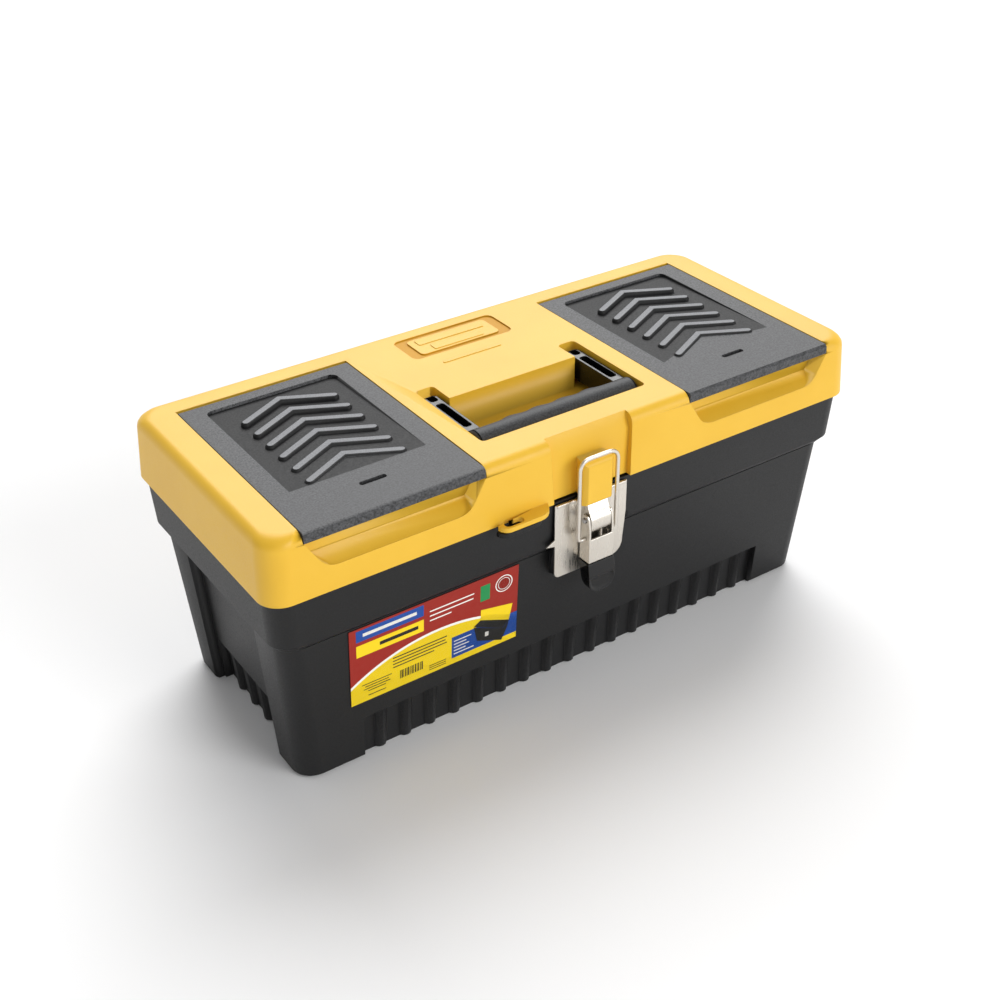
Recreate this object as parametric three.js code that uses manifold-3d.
// A portable plastic toolbox with a lift-out tray, in millimetres, +Z up and -Y to the front.
// A black tub carries a yellow lid on two rear hinges. The lid holds two organizer bins under black
// flip covers and a fold-down carrying handle. A steel draw latch closes the front.
import * as THREE from "three";
import { mergeVertices } from "three/addons/utils/BufferGeometryUtils.js";
import Module from "manifold-3d";

const wasm = await Module();
wasm.setup();

// ---------------------------------------------------------------- driving dimensions
const LENGTH = 430; // lid, left to right
const DEPTH = 182.5; // lid, front to back
const HEIGHT = 183.6; // floor to the lid's top face
const LID_HEIGHT = 40.6;
const GAP = 0.4; // clearance between pieces that touch or nest

const hx = LENGTH / 2;
const hy = DEPTH / 2;
const FRONT = -hy; // the lid's front face, from which the front pieces are placed
const PARTING = HEIGHT - LID_HEIGHT; // height of the lid's bottom edge

// tub
const tub = {
  bandBottom: PARTING - 32.5, // lower edge of the thick rim band
  bandTop: PARTING - 1.2,
  bandInset: 2.8, // rim band behind the lid's edge, at its top
  bandDraft: 1.6,
  step: 4.7, // how far the band stands out from the walls
  stepRise: 6,
  wallDraft: 7, // walls lean in this much down to the floor
  footRound: 2.6,
  wall: 3,
  floor: 3,
  radius: 14,
  tongueRise: 4.6, // inner lip that locates the lid
  tongueInset: 2.4,
};
const recess = { height: 33, depth: 5.5, frontHalf: hx - 58.5, sideHalf: hy - 48.25, sideDepth: 5 };
const rib = { radius: 5, pitch: 17.87, frontEnd: 13.5, sideEnd: 16.2 }; // the ends are the first rib's distance
const sidePanel = { half: hy - 46.25, inset: 6.5 };
const tubCavity = { floorX: hx - 31.5, floorY: hy - 24.65, ledgeX: hx - 18.4, ledgeY: hy - 12.65 };
const TRAY_LEDGE = PARTING - 38.5; // height of the ledge that the tray rests on

// lid
const lid = { wall: 2.5, draft: 1.8, round: 7, radius: 14.7 };
const well = {
  centre: hx - 82.5, // left and right of the middle
  halfWidth: 53.5,
  front: FRONT + 14.25,
  back: hy - 27.75,
  floor: PARTING + 9,
  wall: 2,
  flange: 2.2, // the bin hangs on this much of a rim at each side
  flangeThick: 1.8,
};
const divider = { perWell: 2, thick: 1.6, height: 24 };
const cover = { halfWidth: 57.5, front: FRONT + 1.95, back: hy - 21.65, thick: 3.4, below: 0.2, lip: 6.2 };
const coverHinge = { y: cover.back - 2.4, drop: 2.7, pinRadius: 1.4, pinReach: 2.2 };
const coverPanel = { half: 44, front: cover.front + 41.3, back: cover.back - 9.1, depth: 2.1, radius: 5 };
const chevron = {
  count: 6,
  pitch: 15.85,
  firstY: coverPanel.back - 11,
  reach: 32.3,
  fall: 16.5,
  width: 6.8,
  rise: 1.2, // above the cover's face
  slope: 1.1, // the sides lean in this much
};
const coverSlot = { y: cover.front + 26.3, length: 17, width: 3.6 };
const fingerScoop = {
  bottom: HEIGHT - 25.4,
  ledge: HEIGHT - 19.6,
  depthY: FRONT + 11.75,
  endSlope: 11.5,
  corner: 8,
};
const plaque = { half: 38, front: hy - 45.75, back: hy - 16.25, border: 4, depth: 0.9 };

// carrying handle and its recess in the lid
const handlePivot = { y: 1.5, z: HEIGHT - 10.1, pinRadius: 2 };
const handle = {
  reach: 54,
  gripRadius: 8.5,
  gripLift: 2.3, // grip's middle above the pivot
  sleeve: 2.4,
  armWidth: 8.8,
  armHeight: 15,
  armGap: 1.9,
};
const gripY = handlePivot.y - handle.reach;
const bay = {
  half: 60.5,
  front: gripY - handle.gripRadius - 3,
  step: -9,
  back: handlePivot.y + 8.7,
  slot: 13,
  depth: 22.6,
  wall: 2,
  radius: 3,
};
const bayFloor = HEIGHT - bay.depth;

// latch
const catchBay = {
  topHalf: 30,
  bottomHalf: 28.5,
  back: FRONT + 4.25,
  ledge: HEIGHT - 9.1,
  chamferY: FRONT + 9.75,
};
const hook = {
  half: 11.4,
  neckInset: 2.4, // how much narrower each side is at the root
  front: FRONT - 6.75,
  top: PARTING + 24,
  bottom: PARTING - 5.1,
  chamfer: 2.8,
};
const plate = {
  half: 27,
  top: PARTING - 2.6,
  bottom: PARTING - 54.6,
  thick: 1.2,
  back: FRONT + 2.15,
  tightCorner: 3.5,
  wideCorner: 9, // the lower right corner is cut rounder
};
const pivot = { y: FRONT - 4.75, z: PARTING - 16, pinRadius: 1.5 };
const lever = { half: 9.2, barrel: 4.4, front: pivot.y - 5, sheet: 1.4, bottom: pivot.z - 29, slotDrop: 12, rollDrop: 4.6 };
const fingerTip = { half: lever.half + 0.6, bottom: lever.bottom - 21.5 };
const bail = { wire: 1.3, half: hook.half + 2.7, footZ: pivot.z - 13, footY: pivot.y - 0.4, corner: 7.5 };

// padlock tabs, left of the latch
const tab = { x0: -71, x1: -33, front: FRONT - 9.75, thick: 3, radius: 6 };
const tabHole = { x: tab.x0 + 10, y: tab.front + 4.4, length: 13, width: 5.4 };

// lid hinges
const hinge = { x: hx - 105, y: hy + 3.8, z: PARTING - 5, radius: 4, pinRadius: 1.5, lidHalf: 6, earWidth: 8 };

// tray
const tray = {
  wall: 2,
  floor: 2,
  height: 33,
  draft: 1.2,
  sideGap: 1.6, // to the rim band's inner face, at the bottom
  gripHalf: 62,
  gripTop: 3,
  gripThick: 8,
  gripHole: 45,
  gripBar: 9, // height of the grip's top bar
  wallHeight: 24,
  lowWall: 7,
};

// label on the front wall
const label = { x0: -hx + 50, width: 117, top: tub.bandBottom - 7, height: 57, thick: 0.3, radius: 4 };

// ---------------------------------------------------------------- solids
const solid = (geometry) => {
  const bare = geometry.clone();
  bare.deleteAttribute("normal");
  bare.deleteAttribute("uv");
  const merged = mergeVertices(bare, 1e-4);
  return new wasm.Manifold(
    new wasm.Mesh({
      numProp: 3,
      vertProperties: new Float32Array(merged.attributes.position.array),
      triVerts: new Uint32Array(merged.index.array),
    }),
  );
};

const box = (x0, x1, y0, y1, z0, z1) =>
  solid(
    new THREE.BoxGeometry(x1 - x0, y1 - y0, z1 - z0).translate((x0 + x1) / 2, (y0 + y1) / 2, (z0 + z1) / 2),
  );

const roundedRect = (x0, x1, y0, y1, r) => {
  const s = new THREE.Shape();
  s.moveTo(x0 + r, y0);
  s.lineTo(x1 - r, y0);
  s.absarc(x1 - r, y0 + r, r, -Math.PI / 2, 0);
  s.lineTo(x1, y1 - r);
  s.absarc(x1 - r, y1 - r, r, 0, Math.PI / 2);
  s.lineTo(x0 + r, y1);
  s.absarc(x0 + r, y1 - r, r, Math.PI / 2, Math.PI);
  s.lineTo(x0, y0 + r);
  s.absarc(x0 + r, y0 + r, r, Math.PI, 1.5 * Math.PI);
  return s;
};

const outline = (points) => new THREE.Shape(points.map(([a, b]) => new THREE.Vector2(a, b)));

const extrude = (shape, depth, curveSegments = 5, steps = 1) =>
  new THREE.ExtrudeGeometry(shape, { depth, curveSegments, steps, bevelEnabled: false });

// an outline in X and Y, raised from z0 to z1
const upright = (shape, z0, z1) => solid(extrude(shape, z1 - z0).translate(0, 0, z0));

// an outline in Y and Z, drawn along X
const alongX = (shape, x0, x1) => {
  const turn = new THREE.Matrix4().makeBasis(
    new THREE.Vector3(0, 1, 0),
    new THREE.Vector3(0, 0, 1),
    new THREE.Vector3(1, 0, 0),
  );
  return solid(extrude(shape, x1 - x0).applyMatrix4(turn).translate(x0, 0, 0));
};

// an outline in X and Z, drawn along Y
const alongY = (shape, y0, y1) => {
  const turn = new THREE.Matrix4().makeBasis(
    new THREE.Vector3(1, 0, 0),
    new THREE.Vector3(0, 0, 1),
    new THREE.Vector3(0, -1, 0),
  );
  return solid(extrude(shape, y1 - y0).applyMatrix4(turn).translate(0, y1, 0));
};

// a round-cornered block whose half sizes change with height: rings are [z, half x, half y]
const drafted = (rings, radius, curveSegments = 5) => {
  const [, x0, y0] = rings[0];
  const shape = roundedRect(-x0, x0, -y0, y0, radius);
  const geometry = extrude(shape, rings.length - 1, curveSegments, rings.length - 1);
  const p = geometry.attributes.position;
  for (let i = 0; i < p.count; i += 1) {
    const [z, x, y] = rings[Math.round(p.getZ(i))];
    p.setXYZ(i, p.getX(i) + Math.sign(p.getX(i)) * (x - x0), p.getY(i) + Math.sign(p.getY(i)) * (y - y0), z);
  }
  return solid(geometry);
};

const roundX = (radius, x0, x1, y, z, sides = 16) =>
  solid(new THREE.CylinderGeometry(radius, radius, x1 - x0, sides).rotateZ(Math.PI / 2).translate((x0 + x1) / 2, y, z));

const joined = (...solids) => solids.reduce((a, b) => a.add(b));
const mirrored = (make) => make(1).add(make(-1));

const group = new THREE.Group();
const colours = {
  black: [0x26272a, 0.55, 0],
  cover: [0x4a4b4e, 0.6, 0],
  handle: [0x2c2d30, 0.4, 0],
  yellow: [0xf2bf3a, 0.45, 0],
  nickel: [0xd9d5ce, 0.3, 1],
  steel: [0xb9b9bb, 0.35, 1],
  tip: [0x141416, 0.25, 0],
  paper: [0xc8a020, 0.5, 0],
};

const place = (name, made, colour) => {
  const mesh = made.getMesh();
  const geometry = new THREE.BufferGeometry();
  geometry.setAttribute("position", new THREE.BufferAttribute(mesh.vertProperties, 3));
  geometry.setIndex(new THREE.BufferAttribute(mesh.triVerts, 1));
  geometry.computeVertexNormals();
  const [color, roughness, metalness] = colours[colour];
  const piece = new THREE.Mesh(geometry, new THREE.MeshStandardMaterial({ color, roughness, metalness }));
  piece.name = name;
  group.add(piece);
};

// ---------------------------------------------------------------- shared places
const bandTopX = hx - tub.bandInset;
const bandTopY = hy - tub.bandInset;
const bandLowX = bandTopX - tub.bandDraft;
const bandLowY = bandTopY - tub.bandDraft;
const stepZ = tub.bandBottom - tub.stepRise;
const wallTopX = bandLowX - tub.step;
const wallTopY = bandLowY - tub.step;
const footX = wallTopX - tub.wallDraft;
const footY = wallTopY - tub.wallDraft;
const wallLean = tub.wallDraft / stepZ; // walls move out this much per millimetre of height
const lidTopX = hx - lid.draft;
const lidTopY = hy - lid.draft;
const coverTop = HEIGHT - cover.below;
const coverBottom = coverTop - cover.thick;
const coverAxisZ = HEIGHT - coverHinge.drop;
const coverX0 = well.centre - cover.halfWidth;
const coverX1 = well.centre + cover.halfWidth;
const pocketFloor = coverBottom - GAP;
const coverSwing = Math.hypot(cover.back - coverHinge.y, coverTop - coverAxisZ);
const pocketBack = coverHinge.y + coverSwing + GAP;
const heelZ = coverAxisZ - coverSwing - GAP; // the cover's back edge swings down to here

const padlockTab = (front, root, z0, rightEnd) => {
  const { x0, radius: r } = tab;
  const shape = new THREE.Shape();
  shape.moveTo(x0, root);
  shape.absarc(x0 + r, front + r, r, Math.PI, 1.5 * Math.PI);
  shape.lineTo(rightEnd - 2 * r, front);
  shape.quadraticCurveTo(rightEnd - r / 2, front, rightEnd, root);
  const eye = roundedRect(
    tabHole.x - tabHole.length / 2,
    tabHole.x + tabHole.length / 2,
    tabHole.y - tabHole.width / 2,
    tabHole.y + tabHole.width / 2,
    tabHole.width / 2 - 0.1,
  );
  return upright(shape, z0, z0 + tab.thick).subtract(upright(eye, z0 - 1, z0 + tab.thick + 1));
};

// ---------------------------------------------------------------- tub
const tubBody = () => {
  const outer = drafted(
    [
      [0, footX - tub.footRound, footY - tub.footRound],
      [tub.footRound, footX, footY],
      [stepZ, wallTopX, wallTopY],
      [tub.bandBottom, bandLowX, bandLowY],
      [tub.bandTop, bandTopX, bandTopY],
    ],
    tub.radius,
    7,
  );
  const tongueX = bandTopX - tub.tongueInset;
  const tongueY = bandTopY - tub.tongueInset;
  const tongueTop = tub.bandTop + tub.tongueRise;
  const tongue = drafted(
    [
      [tub.bandBottom, tongueX, tongueY],
      [tongueTop, tongueX, tongueY],
    ],
    tub.radius - 2,
  );
  const cavity = drafted(
    [
      [tub.floor, tubCavity.floorX, tubCavity.floorY],
      [TRAY_LEDGE, tubCavity.ledgeX, tubCavity.ledgeY],
    ],
    tub.radius - 4,
  );
  const rimCavity = drafted(
    [
      [TRAY_LEDGE - 0.01, bandLowX - tub.wall, bandLowY - tub.wall],
      [tongueTop + 1, bandTopX - tub.wall - 1.4, bandTopY - tub.wall - 1.4],
    ],
    tub.radius - 3,
  );
  const catchNotch = box(-36, 36, -hy, -bandTopY + tub.wall + 3, tub.bandTop, tongueTop + 1);
  return { outer: outer.add(tongue), hollow: joined(cavity, rimCavity, catchNotch) };
};

// the recess along the foot of a long wall; side is 1 at the back and -1 at the front
const longRecess = (side) => {
  const foot = footY - recess.depth;
  const top = foot + wallLean * recess.height;
  const shape = outline([
    [side * foot, -1],
    [side * top, recess.height - 2],
    [side * (top + 2), recess.height],
    [side * (top + 20), recess.height],
    [side * (foot + 20), -1],
  ]);
  return alongX(shape, -recess.frontHalf, recess.frontHalf);
};

const leaningRib = (x, y, leanX, leanY) => {
  const tall = recess.height - 1;
  const geometry = new THREE.CylinderGeometry(rib.radius, rib.radius - 0.8, tall, 12);
  geometry.rotateX(Math.PI / 2);
  const shear = new THREE.Matrix4().makeShear(0, 0, 0, 0, leanX, leanY);
  return solid(geometry.translate(0, 0, tall / 2).applyMatrix4(shear).translate(x, y, 1));
};

const ribCount = (half, end) => Math.floor((2 * (half - end)) / rib.pitch + 0.01) + 1;

const longRibs = (side) => {
  const ribs = [];
  const count = ribCount(recess.frontHalf, rib.frontEnd);
  for (let i = 0; i < count; i += 1) {
    const x = (i - (count - 1) / 2) * rib.pitch;
    ribs.push(leaningRib(x, side * (footY - recess.depth - 0.8), 0, side * wallLean));
  }
  return joined(...ribs);
};

// the sunk panel between the corner pillars of a short wall, and the deeper recess along its foot
const shortPanel = (side) => {
  const foot = footX - sidePanel.inset;
  const shape = outline([
    [side * foot, -1],
    [side * (foot + wallLean * stepZ), stepZ],
    [side * (foot + 30), stepZ],
    [side * (foot + 30), -1],
  ]);
  return alongY(shape, -sidePanel.half, sidePanel.half);
};

const shortRecess = (side) => {
  const foot = footX - sidePanel.inset - recess.sideDepth;
  const top = foot + wallLean * recess.height;
  const shape = outline([
    [side * foot, -1],
    [side * top, recess.height - 2],
    [side * (top + 2), recess.height],
    [side * (top + 30), recess.height],
    [side * (foot + 30), -1],
  ]);
  return alongY(shape, -recess.sideHalf, recess.sideHalf);
};

const shortRibs = (side) => {
  const ribs = [];
  const count = ribCount(recess.sideHalf, rib.sideEnd);
  for (let i = 0; i < count; i += 1) {
    const y = (i - (count - 1) / 2) * rib.pitch;
    const x = side * (footX - sidePanel.inset - recess.sideDepth - 0.8);
    ribs.push(leaningRib(x, y, side * wallLean, 0));
  }
  return joined(...ribs);
};

// raised seat behind the lower half of the latch plate, with a scoop each side for its ears
const latchSeat = () => {
  const shape = outline([
    [-wallTopY + 4, plate.bottom - 3],
    [plate.back + GAP, plate.bottom + 1],
    [plate.back + GAP, tub.bandBottom + 4],
    [-wallTopY + 4, tub.bandBottom + 4],
  ]);
  return alongX(shape, -plate.half + 2.5, plate.half - 2.5);
};

const earScoop = (side) =>
  solid(
    new THREE.CylinderGeometry(5, 5, 26, 12)
      .rotateX(Math.PI / 2)
      .translate(side * (plate.half + 1), plate.back - 1.2, tub.bandBottom - 9),
  );

const hingeEars = () => {
  const inner = hinge.lidHalf + GAP;
  const outer = inner + hinge.earWidth;
  const ear = (centre, x0, x1) =>
    joined(
      roundX(hinge.radius, centre + x0, centre + x1, hinge.y, hinge.z, 14),
      box(centre + x0, centre + x1, bandLowY - 1, hinge.y, hinge.z - hinge.radius, hinge.z),
    );
  return joined(
    ...[-hinge.x, hinge.x].flatMap((x) => [ear(x, -outer, -inner), ear(x, inner, outer)]),
  );
};

const hingeBore = (radius) => {
  const reach = hinge.lidHalf + GAP + hinge.earWidth + 1;
  return joined(
    ...[-hinge.x, hinge.x].map((x) => roundX(radius, x - reach, x + reach, hinge.y, hinge.z, 12)),
  );
};

const makeTub = () => {
  const { outer, hollow } = tubBody();
  const walls = outer
    .subtract(mirrored(longRecess))
    .subtract(mirrored(shortPanel))
    .subtract(mirrored(shortRecess))
    .add(mirrored(longRibs))
    .add(mirrored(shortRibs));
  const tabZ = tub.bandTop - tab.thick - 0.4;
  const seated = walls
    .add(latchSeat())
    .add(hingeEars())
    .add(padlockTab(tab.front + 1.6, -bandLowY + 2, tabZ, tab.x1 - 3));
  return seated.subtract(hollow).subtract(mirrored(earScoop)).subtract(hingeBore(hinge.pinRadius + 0.25));
};
place("base_tub", makeTub(), "black");

// ---------------------------------------------------------------- lid
const lidShell = () => {
  const roundRings = [0, 1, 2, 3, 4, 5].map((k) => {
    const turn = (k / 5) * (Math.PI / 2);
    const inset = lid.round * (1 - Math.cos(turn));
    return [HEIGHT - lid.round * (1 - Math.sin(turn)), lidTopX - inset, lidTopY - inset];
  });
  const outer = drafted([[PARTING, hx, hy], ...roundRings], lid.radius, 8);
  const inner = drafted(
    [
      [PARTING - 1, hx - lid.wall, hy - lid.wall],
      [HEIGHT - lid.round, lidTopX - lid.wall, lidTopY - lid.wall],
      [HEIGHT - lid.wall, lidTopX - lid.round, lidTopY - lid.round],
    ],
    lid.radius - lid.wall,
  );
  return { outer, shell: outer.subtract(inner) };
};

// thick rim under each cover, with a mouth that the organizer bin hangs in
const wellRim = (side) => {
  const c = side * well.centre;
  const rest = cover.halfWidth + 3.4;
  const collar = box(c - rest, c + rest, well.front - 12, pocketBack + 2.5, coverBottom - 4.5, HEIGHT - 1);
  const scoopBack = box(c - rest, c + rest, -lidTopY + 1, well.front, fingerScoop.bottom - 2.4, HEIGHT - 1);
  return collar.add(scoopBack);
};

const wellMouth = (side) => {
  const c = side * well.centre;
  const w = well.halfWidth + well.wall + GAP;
  const rim = w + well.flange;
  const y0 = well.front - well.wall - GAP;
  const y1 = well.back + well.wall + GAP;
  const rebate = box(c - rim, c + rim, y0, y1, pocketFloor - well.flangeThick - 2 * GAP, HEIGHT + 1);
  return box(c - w, c + w, y0, y1, PARTING, HEIGHT + 1).add(rebate);
};

const makeBin = (side) => {
  const c = side * well.centre;
  const w = well.halfWidth + well.wall;
  const top = pocketFloor - GAP;
  const y0 = well.front - well.wall;
  const y1 = well.back + well.wall;
  const body = box(c - w, c + w, y0, y1, well.floor - well.wall, top);
  const rim = box(c - w - well.flange, c + w + well.flange, y0, y1, top - well.flangeThick, top);
  const inside = roundedRect(c - well.halfWidth, c + well.halfWidth, well.front, well.back, 4);
  const heelRoom = box(c - w - 5, c + w + 5, coverHinge.y - 3.2, y1 + 1, heelZ, top + 1);
  return joined(body, rim).subtract(upright(inside, well.floor, top + 1)).subtract(heelRoom);
};

// room for the flip cover, its hinge pins and the fingers that lift it
const coverPocket = (side) => {
  const c = side * well.centre;
  const half = cover.halfWidth + GAP + 0.2;
  const pocket = box(c - half, c + half, -hy - 1, pocketBack, pocketFloor, HEIGHT + 1);
  const groove = box(c - half, c + half, coverHinge.y - 3.2, pocketBack, heelZ, HEIGHT + 1);
  const pinHoles = roundX(
    coverHinge.pinRadius + 0.3,
    c - cover.halfWidth - coverHinge.pinReach - GAP,
    c + cover.halfWidth + coverHinge.pinReach + GAP,
    coverHinge.y,
    coverAxisZ,
    10,
  );
  const lipBack = cover.front + cover.thick + GAP;
  const lipRoom = box(c - half, c + half, -hy - 1, lipBack, coverTop - cover.lip - GAP, HEIGHT + 1);
  return joined(pocket, groove, pinHoles, lipRoom);
};

const fingerCut = (side) => {
  const c = side * well.centre;
  const low = cover.halfWidth - fingerScoop.endSlope;
  const mouth = coverTop - cover.lip;
  const { bottom, corner } = fingerScoop;
  const top = cover.halfWidth;
  const rise = mouth - bottom;
  const endLength = Math.hypot(fingerScoop.endSlope, rise);
  const cornerX = low + (corner * fingerScoop.endSlope) / endLength;
  const cornerZ = bottom + (corner * rise) / endLength;
  const face = new THREE.Shape();
  face.moveTo(c - low + corner, bottom);
  face.lineTo(c + low - corner, bottom);
  face.quadraticCurveTo(c + low, bottom, c + cornerX, cornerZ);
  face.lineTo(c + top, mouth);
  face.lineTo(c + top, pocketFloor + 1);
  face.lineTo(c - top, pocketFloor + 1);
  face.lineTo(c - top, mouth);
  face.lineTo(c - cornerX, cornerZ);
  face.quadraticCurveTo(c - low, bottom, c - low + corner, bottom);
  const depth = outline([
    [-hy - 2, fingerScoop.bottom],
    [-hy + 1.5, fingerScoop.bottom],
    [fingerScoop.depthY, fingerScoop.ledge],
    [fingerScoop.depthY, HEIGHT],
    [-hy - 2, HEIGHT],
  ]);
  return alongY(face, -hy - 2, fingerScoop.depthY + 1).intersect(alongX(depth, c - 60, c + 60));
};

const handleBay = () => {
  const { half, front, step, back, slot, radius: r } = bay;
  const shape = new THREE.Shape();
  shape.moveTo(-half + r, front);
  shape.lineTo(half - r, front);
  shape.absarc(half - r, front + r, r, -Math.PI / 2, 0);
  shape.absarc(half - r, back - r, r, 0, Math.PI / 2);
  shape.absarc(half - slot + r, back - r, r, Math.PI / 2, Math.PI);
  shape.lineTo(half - slot, step);
  shape.lineTo(-half + slot, step);
  shape.absarc(-half + slot - r, back - r, r, 0, Math.PI / 2);
  shape.absarc(-half + r, back - r, r, Math.PI / 2, Math.PI);
  shape.absarc(-half + r, front + r, r, Math.PI, 1.5 * Math.PI);
  const hollow = upright(shape, bayFloor, HEIGHT + 1);
  const w = bay.wall;
  const under = bay.half - bay.slot - w;
  const block = box(
    -bay.half - w,
    bay.half + w,
    bay.front - w,
    bay.back + w,
    bayFloor - w,
    HEIGHT - 1,
  ).subtract(box(-under, under, bay.step + w, bay.back + w + 1, bayFloor - w - 1, HEIGHT - lid.wall));
  const pinHole = roundX(
    handlePivot.pinRadius + 0.25,
    -bay.half - w - 1,
    bay.half + w + 1,
    handlePivot.y,
    handlePivot.z,
    12,
  );
  return { block, hollow: hollow.add(pinHole) };
};

const catchRecess = () => {
  const face = outline([
    [-catchBay.bottomHalf, PARTING - 2],
    [catchBay.bottomHalf, PARTING - 2],
    [catchBay.topHalf, HEIGHT + 1],
    [-catchBay.topHalf, HEIGHT + 1],
  ]);
  const depth = outline([
    [-hy - 2, PARTING - 2],
    [catchBay.back, PARTING - 2],
    [catchBay.back + 0.5, catchBay.ledge],
    [catchBay.chamferY, HEIGHT + 1],
    [-hy - 2, HEIGHT + 1],
  ]);
  const backing = outline([
    [-hy + 0.5, PARTING],
    [catchBay.back + lid.wall, PARTING],
    [catchBay.back + lid.wall, catchBay.ledge],
    [catchBay.chamferY + lid.wall, HEIGHT - 1],
    [-hy + 4, HEIGHT - 1],
  ]);
  return {
    block: alongX(backing, -catchBay.topHalf - lid.wall, catchBay.topHalf + lid.wall),
    hollow: alongY(face, -hy - 2, -hy + 12).intersect(alongX(depth, -40, 40)),
  };
};

const catchHook = () => {
  const side = outline([
    [hook.front + 1, hook.bottom],
    [plate.back - plate.thick - 1.2, hook.bottom],
    [plate.back - plate.thick - 1.2, PARTING + 0.4],
    [catchBay.back + 1, PARTING + 0.4],
    [catchBay.back + 1, hook.top],
    [hook.front + hook.chamfer, hook.top],
    [hook.front, hook.top - hook.chamfer],
    [hook.front, hook.bottom + 1.5],
  ]);
  const plan = outline([
    [-hook.half + hook.neckInset, catchBay.back + 2],
    [-hook.half, hook.front + hook.chamfer],
    [-hook.half + hook.chamfer, hook.front],
    [hook.half - hook.chamfer, hook.front],
    [hook.half, hook.front + hook.chamfer],
    [hook.half - hook.neckInset, catchBay.back + 2],
  ]);
  return alongX(side, -hook.half, hook.half).intersect(upright(plan, hook.bottom - 1, hook.top + 1));
};

const lidKnuckles = () =>
  joined(
    ...[-hinge.x, hinge.x].map((x) => {
      const arm = outline([
        [hy - 1, PARTING + 0.4],
        [hinge.y + hinge.radius, hinge.z],
        [hinge.y + hinge.radius, PARTING + 4],
        [hy - 1, PARTING + 12],
      ]);
      return joined(
        roundX(hinge.radius, x - hinge.lidHalf, x + hinge.lidHalf, hinge.y, hinge.z, 14),
        alongX(arm, x - hinge.lidHalf, x + hinge.lidHalf),
      );
    }),
  );

// blank plaque sunk in the lid's top, behind the handle
const plaqueCut = () => {
  const { half, front, back, border, depth } = plaque;
  const frame = roundedRect(-half, half, front, back, 5);
  const inner = roundedRect(-half + 2 * border, half - 2 * border, front + border, back - border, 3);
  return upright(frame, HEIGHT - depth, HEIGHT + 1).subtract(upright(inner, HEIGHT - 1, HEIGHT + 2));
};

const makeLid = () => {
  const { outer, shell } = lidShell();
  const handleRoom = handleBay();
  const catchRoom = catchRecess();
  const inside = joined(mirrored(wellRim), handleRoom.block, catchRoom.block).intersect(outer);
  return shell
    .add(inside)
    .subtract(mirrored(wellMouth))
    .subtract(mirrored(coverPocket))
    .subtract(mirrored(fingerCut))
    .subtract(handleRoom.hollow)
    .subtract(catchRoom.hollow)
    .subtract(plaqueCut())
    .add(catchHook())
    .add(padlockTab(tab.front, -hy + 1.5, PARTING + 0.2, tab.x1))
    .add(lidKnuckles())
    .subtract(hingeBore(hinge.pinRadius + 0.25));
};
place("lid_shell", makeLid(), "yellow");
place("organizer_bin_left", makeBin(-1), "yellow");
place("organizer_bin_right", makeBin(1), "yellow");

// ---------------------------------------------------------------- organizer dividers
const makeDivider = (side, number) => {
  const c = side * well.centre;
  const reach = well.halfWidth - GAP;
  const spacing = (well.back - well.front) / (divider.perWell + 1);
  const y = well.front + number * spacing;
  const sheet = box(c - reach, c + reach, y - divider.thick / 2, y + divider.thick / 2, 0, divider.height);
  const dip = alongY(roundedRect(c - 15, c + 15, divider.height - 7, divider.height + 8, 6), y - 3, y + 3);
  return sheet.subtract(dip).translate([0, 0, well.floor + 0.3]);
};
for (const [name, side] of [
  ["left", -1],
  ["right", 1],
]) {
  for (let n = 1; n <= divider.perWell; n += 1) {
    place(`organizer_divider_${name}_${n}`, makeDivider(side, n), "black");
  }
}

// ---------------------------------------------------------------- organizer covers
// one round-ended chevron with chamfered edges, its apex to the back
const chevronBar = (c, apex) => {
  const { reach, fall, width, rise, slope } = chevron;
  const lean = Math.atan2(fall, reach);
  const r = (width * Math.cos(lean)) / 2;
  const length = Math.hypot(reach, fall) - r;
  const foot = coverTop - coverPanel.depth - 0.4;
  const top = coverTop + rise;
  const section = outline([
    [-r, foot],
    [r, foot],
    [r, top - slope],
    [r - slope, top],
    [slope - r, top],
    [-r, top - slope],
  ]);
  const disc = (lowRadius, highRadius, z0, z1) =>
    solid(
      new THREE.CylinderGeometry(highRadius, lowRadius, z1 - z0, 16)
        .rotateX(Math.PI / 2)
        .translate(length, 0, (z0 + z1) / 2),
    );
  const arm = joined(
    alongX(section, -10, length),
    disc(r, r, foot, top - slope),
    disc(r, r - slope, top - slope, top),
  );
  const half = arm.rotate([0, 0, (-lean * 180) / Math.PI]).intersect(box(0, 60, -60, 60, foot - 1, top + 1));
  return half.add(half.mirror([1, 0, 0])).translate([c, apex, 0]);
};

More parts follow.
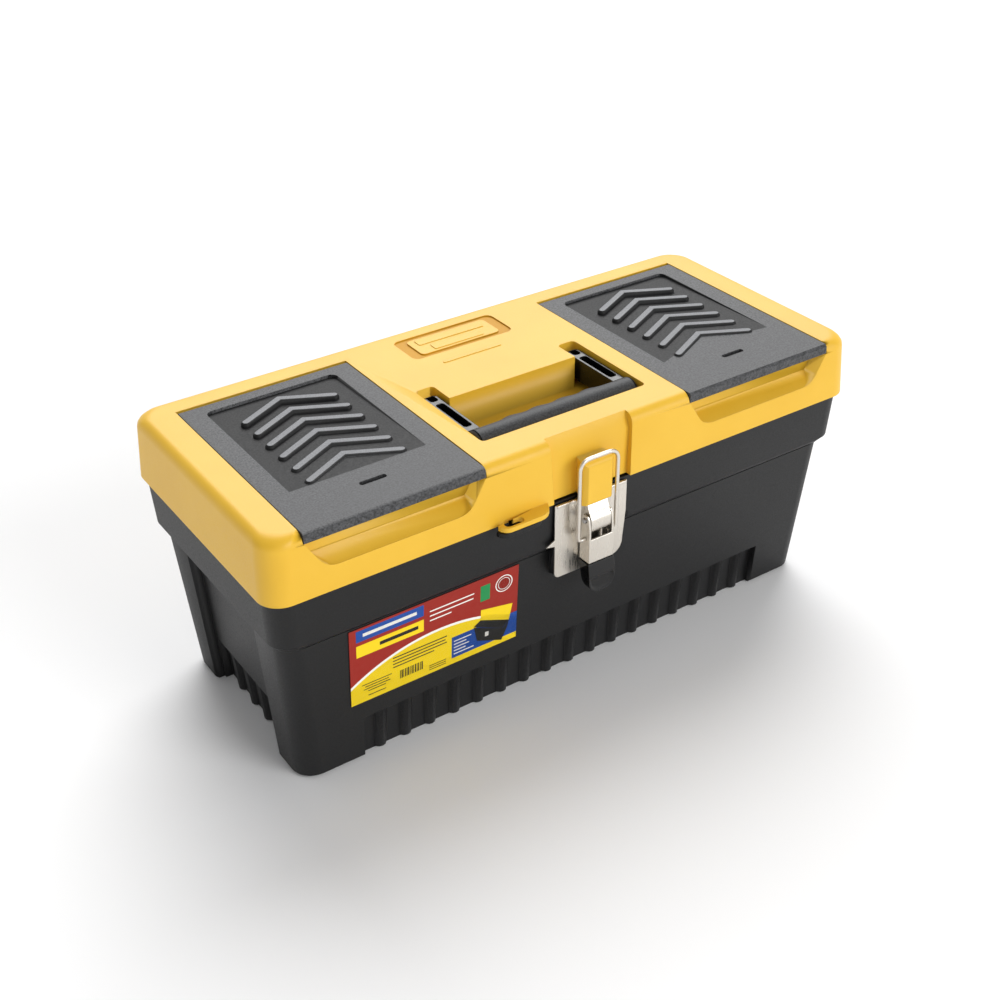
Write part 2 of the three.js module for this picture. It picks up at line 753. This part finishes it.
const makeCover = (side) => {
  const c = side * well.centre;
  const sheet = outline([
    [cover.front, coverTop - cover.lip],
    [cover.front + cover.thick, coverTop - cover.lip],
    [cover.front + cover.thick, coverBottom],
    [cover.back, coverBottom],
    [cover.back, coverTop - 1],
    [cover.back - 1, coverTop],
    [cover.front + 1.6, coverTop],
    [cover.front, coverTop - 1.6],
  ]);
  const body = alongX(sheet, c - cover.halfWidth, c + cover.halfWidth);
  const pins = roundX(
    coverHinge.pinRadius,
    c - cover.halfWidth - coverHinge.pinReach,
    c + cover.halfWidth + coverHinge.pinReach,
    coverHinge.y,
    coverAxisZ,
    10,
  );
  const { half, front, back, depth, radius } = coverPanel;
  const sunk = outline([
    [front, coverTop + 0.001],
    [back, coverTop - depth],
    [back, coverTop + 1],
    [front, coverTop + 1],
  ]);
  const panel = alongX(sunk, c - half, c + half).intersect(
    upright(roundedRect(c - half, c + half, front - 10, back, radius), coverTop - depth - 1, coverTop + 2),
  );
  const slot = upright(
    roundedRect(
      c - coverSlot.length / 2,
      c + coverSlot.length / 2,
      coverSlot.y - coverSlot.width / 2,
      coverSlot.y + coverSlot.width / 2,
      coverSlot.width / 2 - 0.2,
    ),
    coverBottom - 1,
    coverTop + 1,
  );
  const chevrons = [];
  for (let i = 0; i < chevron.count; i += 1) {
    chevrons.push(chevronBar(c, chevron.firstY - i * chevron.pitch));
  }
  return body.subtract(panel).add(joined(...chevrons)).add(pins).subtract(slot);
};
place("organizer_cover_left", makeCover(-1), "cover");
place("organizer_cover_right", makeCover(1), "cover");

// ---------------------------------------------------------------- carrying handle
const armX1 = bay.half - handle.armGap;
const armX0 = armX1 - handle.armWidth;

const handleArm = (side) => {
  const half = handle.armHeight / 2;
  const z = handlePivot.z;
  const heel = roundX(half, armX0, armX1, handlePivot.y, z, 20);
  const shaft = box(armX0, armX1, gripY, handlePivot.y, z - half, z + half);
  const wall = 1.6;
  const pockets = joined(
    upright(
      roundedRect(armX0 + wall, armX1 - wall, gripY + 12, handlePivot.y - 9, 2),
      z - half + 3,
      z + half + 1,
    ),
    upright(
      roundedRect(armX0 + wall, armX1 - wall, handlePivot.y - 5, handlePivot.y + 3, 2),
      z + handlePivot.pinRadius + 1.6,
      z + half + 1,
    ),
  );
  const bore = roundX(
    handlePivot.pinRadius + 0.3,
    armX0 - 1,
    armX1 + 1,
    handlePivot.y,
    z,
    12,
  );
  const arm = heel.add(shaft).subtract(pockets).subtract(bore);
  return side > 0 ? arm : arm.mirror([1, 0, 0]);
};

const gripZ = handlePivot.z + handle.gripLift;
const gripReach = armX1 + 0.3; // the sleeve covers the ends of the arms
const makeFrame = () => {
  const core = roundX(handle.gripRadius - handle.sleeve, -armX1, armX1, gripY, gripZ, 12);
  const room = roundX(handle.gripRadius + 0.3, -gripReach - 1, gripReach + 1, gripY, gripZ, 20);
  const arms = mirrored(handleArm).subtract(room);
  const neck = (side) => {
    const [x0, x1] = side > 0 ? [armX0 + 1, armX1 - 1] : [-armX1 + 1, -armX0 - 1];
    return box(x0, x1, gripY, gripY + handle.gripRadius + 2, gripZ - 2, gripZ + 2);
  };
  return joined(arms, core, mirrored(neck));
};
place("handle_frame", makeFrame(), "handle");

// textured sleeve, moulded round the frame's crossbar
const makeGrip = () => {
  const { gripRadius, sleeve } = handle;
  const sleeveBody = roundX(gripRadius, -gripReach, gripReach, gripY, gripZ, 20);
  const bore = roundX(gripRadius - sleeve + 0.3, -armX1 - 0.3, armX1 + 0.3, gripY, gripZ, 12);
  const neckRoom = mirrored((side) => {
    const [x0, x1] = side > 0 ? [armX0 + 0.7, armX1 - 0.7] : [-armX1 + 0.7, -armX0 - 0.7];
    return box(x0, x1, gripY, gripY + gripRadius + 2, gripZ - 2.3, gripZ + 2.3);
  });
  return sleeveBody.subtract(bore).subtract(neckRoom);
};
place("handle_grip", makeGrip(), "handle");

const handlePin = (side) => {
  const x0 = bay.half - bay.slot - bay.wall + GAP;
  const x1 = bay.half + bay.wall - GAP;
  const [a, b] = side > 0 ? [x0, x1] : [-x1, -x0];
  return roundX(handlePivot.pinRadius, a, b, handlePivot.y, handlePivot.z, 12);
};
place("handle_pin_left", handlePin(-1), "steel");
place("handle_pin_right", handlePin(1), "steel");

// ---------------------------------------------------------------- lid hinge pins
const hingePin = (x) => {
  const reach = hinge.lidHalf + GAP + hinge.earWidth - 0.3;
  return roundX(hinge.pinRadius, x - reach, x + reach, hinge.y, hinge.z, 12);
};
place("lid_hinge_pin_left", hingePin(-hinge.x), "steel");
place("lid_hinge_pin_right", hingePin(hinge.x), "steel");

// ---------------------------------------------------------------- draw latch
const plateFront = plate.back - plate.thick;
const cheekX = [lever.half - lever.sheet, lever.half];

// stamped plate with a folded top lip, side ears and a raised strap rolled round the pivot pin
const makePlate = () => {
  const { half, top, bottom, tightCorner, wideCorner } = plate;
  const shape = new THREE.Shape();
  shape.moveTo(-half, top);
  shape.lineTo(-half, bottom + tightCorner);
  shape.absarc(-half + tightCorner, bottom + tightCorner, tightCorner, Math.PI, 1.5 * Math.PI);
  shape.lineTo(half - 2 - wideCorner, bottom);
  shape.absarc(half - 2 - wideCorner, bottom + wideCorner, wideCorner, -Math.PI / 2, 0);
  shape.lineTo(half, tub.bandBottom + 8);
  shape.lineTo(half, top);
  const sheet = alongY(shape, plateFront, plate.back);
  const earTab = outline([
    [-half + 1, tub.bandBottom + 6.5],
    [-half - 6.5, tub.bandBottom + 2.5],
    [-half + 1, tub.bandBottom + 1],
  ]);
  const lip = box(-half + 1, half - 1, plateFront - 0.8, plateFront + 0.4, top - 1.6, top);
  const strapTop = hook.bottom - 0.8;
  const strapFoot = pivot.z + lever.barrel;
  const strap = outline([
    [plateFront + 0.4, strapFoot],
    [pivot.y - 2.4, strapFoot],
    [pivot.y, strapTop],
    [plateFront + 0.4, strapTop],
  ]);
  const web = outline([
    [plateFront + 0.4, pivot.z - 3],
    [pivot.y, pivot.z - 3],
    [pivot.y - 3, pivot.z + 3],
    [pivot.y - 2.2, strapFoot + 1],
    [plateFront + 0.4, strapFoot + 1],
  ]);
  const barrelHalf = cheekX[0] - 0.4;
  const bore = roundX(pivot.pinRadius + 0.25, -half, half, pivot.y, pivot.z, 12);
  return joined(
    sheet,
    alongY(earTab, plateFront, plate.back),
    lip,
    alongX(strap, -barrelHalf, barrelHalf),
    alongX(web, -barrelHalf, barrelHalf),
    roundX(lever.barrel, -barrelHalf, barrelHalf, pivot.y, pivot.z, 16),
    box(-barrelHalf, barrelHalf, pivot.y - lever.barrel, pivot.y + lever.barrel, pivot.z - lever.rollDrop, pivot.z),
    roundX(lever.barrel, -barrelHalf, barrelHalf, pivot.y, pivot.z - lever.rollDrop, 16),
  ).subtract(bore);
};
place("latch_plate", makePlate(), "nickel");

// folded channel: two cheeks on the pivot pin and a face that starts below the rolled strap
const makeLever = () => {
  const { half, front, sheet, bottom, barrel } = lever;
  const back = plateFront - 1;
  const boss = barrel - 0.6;
  const cheekOutline = outline([
    [pivot.y + boss, pivot.z + boss / 2],
    [pivot.y + boss / 2, pivot.z + boss],
    [pivot.y - boss / 2, pivot.z + boss],
    [pivot.y - boss, pivot.z + boss / 2],
    [front, pivot.z - 6],
    [front, bottom],
    [back, bottom],
    [back, bottom + 14],
    [pivot.y + boss, pivot.z - 8],
  ]);
  const [x0, x1] = cheekX;
  const face = box(-half, half, front, front + sheet, bottom, pivot.z - lever.slotDrop);
  const footHoles = roundX(bail.wire + 0.25, -half - 1, half + 1, bail.footY, bail.footZ, 12);
  const pinBore = roundX(pivot.pinRadius + 0.25, -half - 1, half + 1, pivot.y, pivot.z, 12);
  return joined(alongX(cheekOutline, x0, x1), alongX(cheekOutline, -x1, -x0), face)
    .subtract(pinBore)
    .subtract(footHoles);
};
place("latch_lever", makeLever(), "nickel");

place(
  "latch_pivot_pin",
  roundX(pivot.pinRadius, -lever.half - 1.2, lever.half + 1.2, pivot.y, pivot.z, 12),
  "steel",
);

// moulded sleeve that the finger lifts
const makeTip = () => {
  const y = lever.front;
  const side = outline([
    [y - 0.4, lever.bottom - GAP],
    [y + 9.6, lever.bottom - GAP],
    [y + 6, fingerTip.bottom + 8],
    [y + 1.5, fingerTip.bottom],
    [y - 1.8, fingerTip.bottom],
    [y - 1.6, fingerTip.bottom + 12],
  ]);
  const face = roundedRect(-fingerTip.half, fingerTip.half, fingerTip.bottom, lever.bottom + 9, 8);
  const body = alongX(side, -fingerTip.half, fingerTip.half).intersect(alongY(face, y - 12, y + 14));
  const stem = box(-lever.half + 2, lever.half - 2, y + lever.sheet + GAP, y + 6, lever.bottom - 1, lever.bottom + 6);
  return body.add(stem);
};
place("latch_finger_tip", makeTip(), "tip");

// one bent wire: two legs, a top bar and two feet turned in to the lever
const makeBail = () => {
  const top = hook.top + bail.wire + 1.4;
  const r = bail.corner;
  const y = bail.footY;
  const section = new THREE.Shape();
  section.absarc(0, 0, bail.wire, 0, 2 * Math.PI);
  const path = new THREE.CurvePath();
  const at = (x, z) => new THREE.Vector3(x, y, z);
  const bend = (x0, z0, x1, z1, x2, z2) =>
    path.add(new THREE.QuadraticBezierCurve3(at(x0, z0), at(x1, z1), at(x2, z2)));
  const line = (x0, z0, x1, z1) => path.add(new THREE.LineCurve3(at(x0, z0), at(x1, z1)));
  const foot = lever.half - lever.sheet - 0.6;
  const b = bail.half;
  const f = bail.footZ;
  line(-foot, f, -b + 2, f);
  bend(-b + 2, f, -b, f, -b, f + 2);
  line(-b, f + 2, -b, top - r);
  bend(-b, top - r, -b, top, -b + r, top);
  line(-b + r, top, b - r, top);
  bend(b - r, top, b, top, b, top - r);
  line(b, top - r, b, f + 2);
  bend(b, f + 2, b, f, b - 2, f);
  line(b - 2, f, foot, f);
  return solid(
    new THREE.ExtrudeGeometry(section, { extrudePath: path, steps: 64, curveSegments: 5, bevelEnabled: false }),
  );
};
place("latch_bail", makeBail(), "nickel");

// ---------------------------------------------------------------- tray
const trayFoot = TRAY_LEDGE + 0.3;
const trayRim = trayFoot + tray.height;
const trayBaseX = bandLowX - tub.wall - tray.sideGap;
const trayBaseY = bandLowY - tub.wall - tray.sideGap;

const makeTray = () => {
  const body = drafted(
    [
      [trayFoot, trayBaseX, trayBaseY],
      [trayRim, trayBaseX + tray.draft, trayBaseY + tray.draft],
    ],
    tub.radius - 4,
  );
  const w = tray.wall;
  const inner = drafted(
    [
      [trayFoot + tray.floor, trayBaseX - w, trayBaseY - w],
      [trayRim + 1, trayBaseX + tray.draft - w, trayBaseY + tray.draft - w],
    ],
    tub.radius - 6,
  );
  const wallTop = trayFoot + tray.wallHeight;
  const wallStart = tray.gripHalf + GAP;
  const spine = mirrored((side) => {
    const [x0, x1] = side > 0 ? [wallStart, trayBaseX - 1] : [-trayBaseX + 1, -wallStart];
    return box(x0, x1, -w / 2, w / 2, trayFoot + 1, wallTop);
  });
  const lowWallTop = trayFoot + tray.floor + tray.lowWall;
  const lowWall = box(-tray.gripHole + GAP, tray.gripHole - GAP, -w / 2, w / 2, trayFoot + 1, lowWallTop);
  const crossWalls = [-1, 1].map((side) =>
    box(side * 104 - w / 2, side * 104 + w / 2, -trayBaseY + 1, 0, trayFoot + 1, wallTop),
  );
  return joined(body.subtract(inner), spine, lowWall, ...crossWalls);
};
place("tray", makeTray(), "black");

// bridge-shaped grip that stands on the tray's floor
const makeTrayGrip = () => {
  const foot = trayFoot + tray.floor + GAP;
  const top = trayRim + tray.gripTop;
  const { gripHalf, gripHole, gripBar, gripThick } = tray;
  const bridge = roundedRect(-gripHalf, gripHalf, foot - 20, top, 8);
  const hand = roundedRect(-gripHole, gripHole, foot - 20, top - gripBar, 8);
  const solidBridge = alongY(bridge, -gripThick / 2, gripThick / 2);
  return solidBridge
    .subtract(alongY(hand, -gripThick, gripThick))
    .subtract(box(-gripHalf - 1, gripHalf + 1, -gripThick, gripThick, foot - 21, foot));
};
place("tray_grip", makeTrayGrip(), "yellow");

// ---------------------------------------------------------------- label
const makeLabel = () => {
  const face = roundedRect(label.x0, label.x0 + label.width, 0, label.height, label.radius);
  return alongY(face, -label.thick, 0);
};
place("front_label", makeLabel(), "paper");
const labelPiece = group.children.at(-1);
labelPiece.rotation.x = Math.atan(wallLean);
const labelFoot = label.top - label.height;
labelPiece.position.set(0, -(footY + wallLean * labelFoot) - 0.3, labelFoot);

// the origin is under the middle of the whole object's box
const bounds = new THREE.Box3().setFromObject(group, true);
group.position.y = -(bounds.min.y + bounds.max.y) / 2;

export default group;
